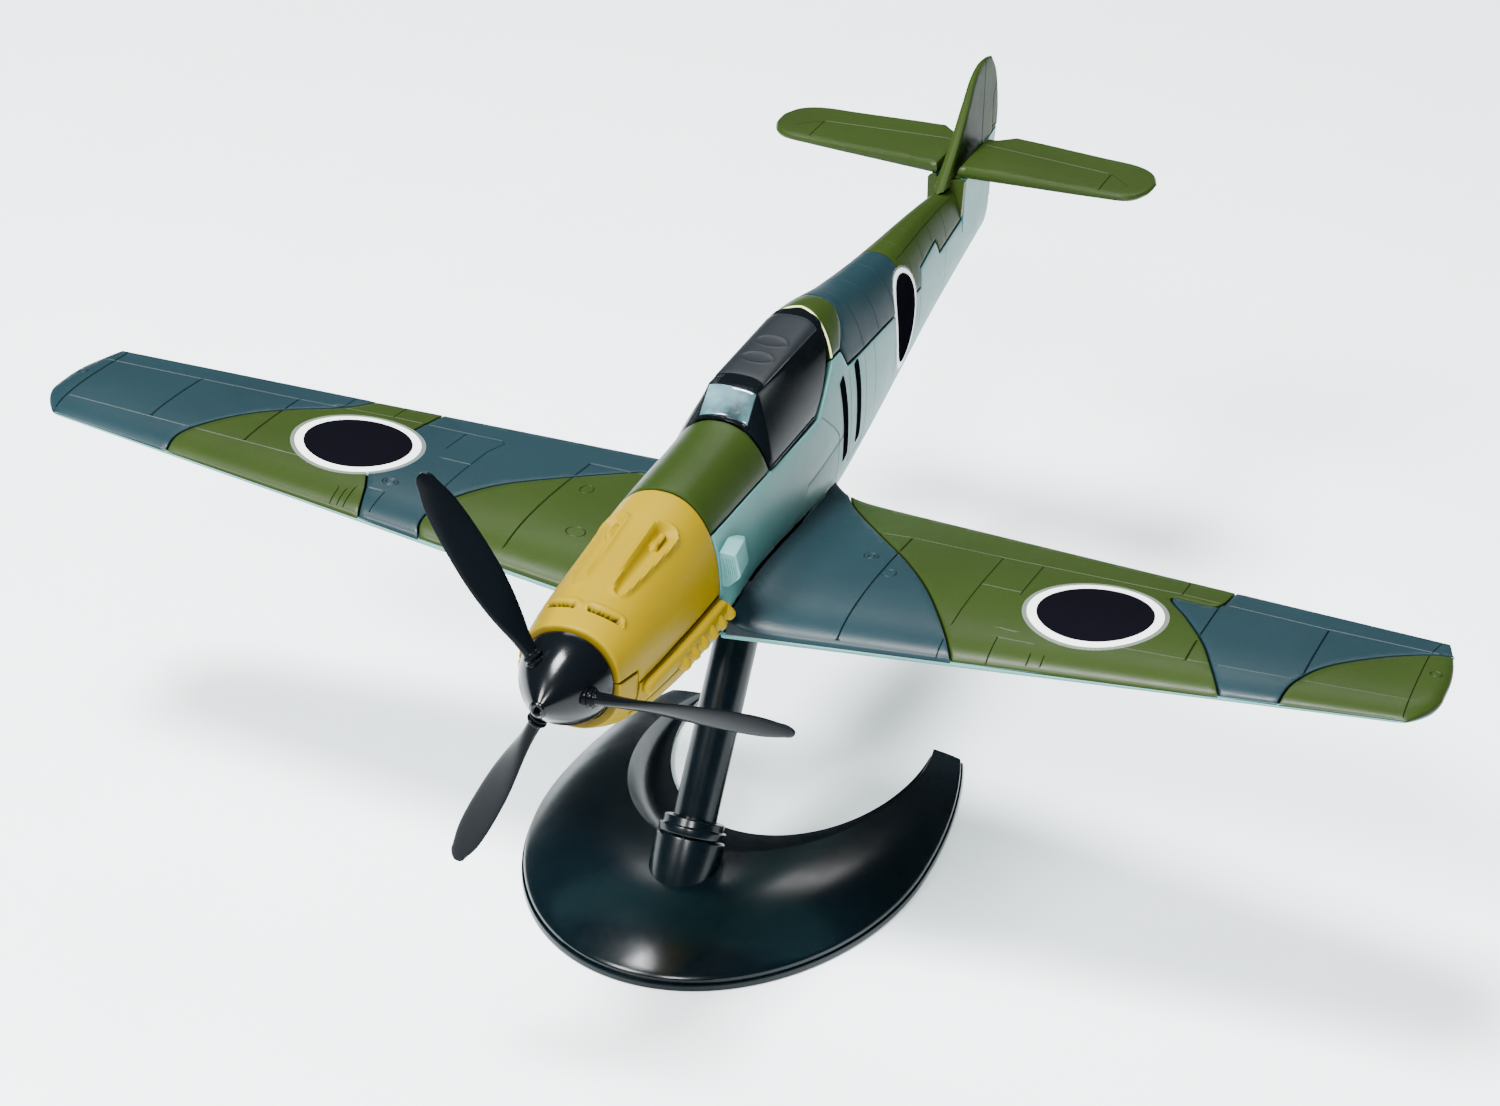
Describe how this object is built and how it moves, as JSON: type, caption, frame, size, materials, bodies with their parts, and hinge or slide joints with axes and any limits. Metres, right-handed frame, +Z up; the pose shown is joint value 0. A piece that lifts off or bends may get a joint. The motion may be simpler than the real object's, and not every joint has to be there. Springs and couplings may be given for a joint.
{
  "type": "propeller plane display model",
  "caption": "Snap-together low-wing propeller fighter model with a free-spinning propeller, on a crescent-shaped display stand it lifts off.",
  "frame": {"origin": "on the table, under the middle of the model's overall box", "axes": "+X to the model's port side, +Y aft, so the nose points to -Y, and +Z up"},
  "size_m": [0.2648, 0.228, 0.115],
  "materials": {
    "yellow_nose": "bright yellow moulded plastic with a soft satin sheen",
    "olive_green": "satin olive green moulded plastic with engraved panel lines",
    "slate_blue": "satin slate blue moulded plastic with engraved panel lines",
    "pale_blue": "satin pale blue moulded plastic",
    "black_gloss": "glossy black moulded plastic",
    "smoked_canopy": "dark smoked clear plastic, polished",
    "grey_core": "plain dark grey moulded plastic, hidden inside"
  },
  "bodies": {
    "stand": {"stand_base": "black_gloss", "stand_collar": "black_gloss", "stand_post": "black_gloss"},
    "airframe": {"core_nose_block": "grey_core", "axle_bush": "grey_core", "core_keel": "grey_core", "belly_socket": "grey_core", "wing_spar": "grey_core", "cowl_upper": "yellow_nose", "cowl_lower": "yellow_nose", "exhaust_left": "yellow_nose", "exhaust_right": "yellow_nose", "supercharger_intake": "pale_blue", "deck_front": "olive_green", "canopy": "smoked_canopy", "cockpit_tub": "grey_core", "seat": "grey_core", "instrument_panel": "grey_core", "deck_rear_green": "olive_green", "deck_mid_blue": "slate_blue", "deck_tail_green": "olive_green", "side_left": "pale_blue", "side_right": "pale_blue", "fuselage_belly": "pale_blue", "tail_fin": "olive_green", "rudder_foot": "pale_blue", "tailplane_left": "olive_green", "tailplane_right": "olive_green", "wing_inner_left_blue": "slate_blue", "wing_mid_left_green": "olive_green", "wing_outer_left_blue": "slate_blue", "wing_tip_left_green": "olive_green", "wing_inner_right_green": "olive_green", "wing_mid_right_blue": "slate_blue", "wing_outer_right_green": "olive_green", "wing_tip_right_blue": "slate_blue", "wing_lower_left": "pale_blue", "wing_lower_right": "pale_blue"},
    "propeller": {"spinner": "black_gloss", "spinner_backplate": "black_gloss", "blade_1": "black_gloss", "blade_2": "black_gloss", "blade_3": "black_gloss", "prop_hub": "black_gloss", "prop_axle": "grey_core", "axle_clip": "grey_core"}
  },
  "joints": [
    {"name": "lift_off_stand", "type": "slide", "parent": "stand", "child": "airframe", "axis": [0, 0.5195, 0.8545], "range_m": [0, 0.016]},
    {"name": "propeller_spin", "type": "hinge", "parent": "airframe", "child": "propeller", "pos_m": [0, -0.1072, 0.08], "axis": [0, -1, 0], "continuous": true}
  ]
}
